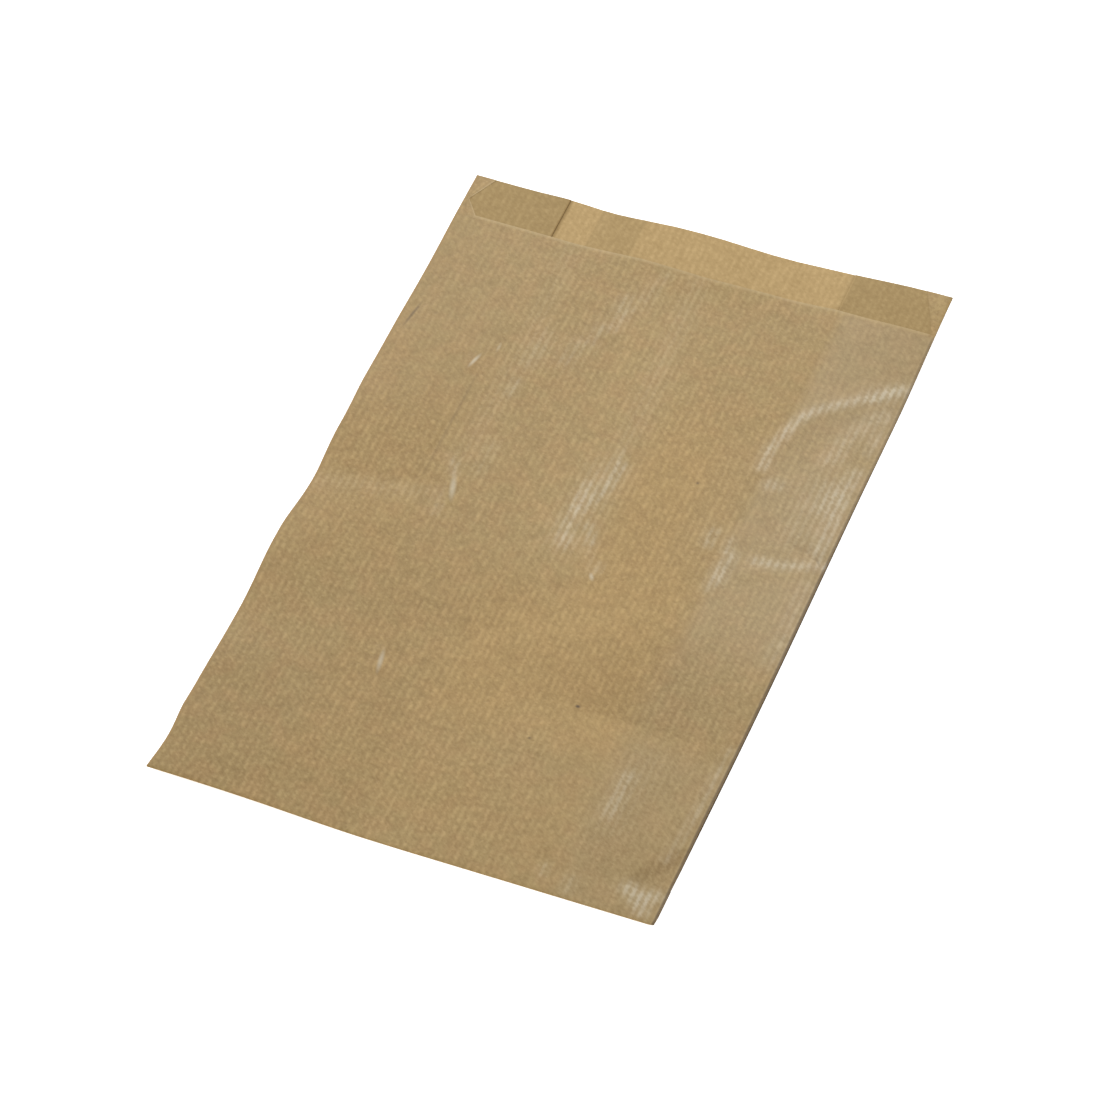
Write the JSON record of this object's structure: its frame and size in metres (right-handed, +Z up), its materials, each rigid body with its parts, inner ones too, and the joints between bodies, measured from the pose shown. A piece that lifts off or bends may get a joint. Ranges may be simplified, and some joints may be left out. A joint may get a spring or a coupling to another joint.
{
  "type": "bakery paper bag",
  "caption": "Flat-lying gusseted paper bag folded and glued from one ribbed kraft sheet, with a cut-back front panel at its mouth.",
  "frame": {"origin": "middle of the bag's bounding box, on the surface it lies on", "axes": "+X across the bag from the left side fold to the right one, +Y from the bottom fold to the mouth, +Z up from the surface"},
  "size_m": [0.181, 0.3, 0.0047],
  "materials": {
    "kraft_paper": "glazed ribbed brown kraft"
  },
  "bodies": {
    "root": {"paper_bag": "kraft_paper"}
  },
  "joints": []
}
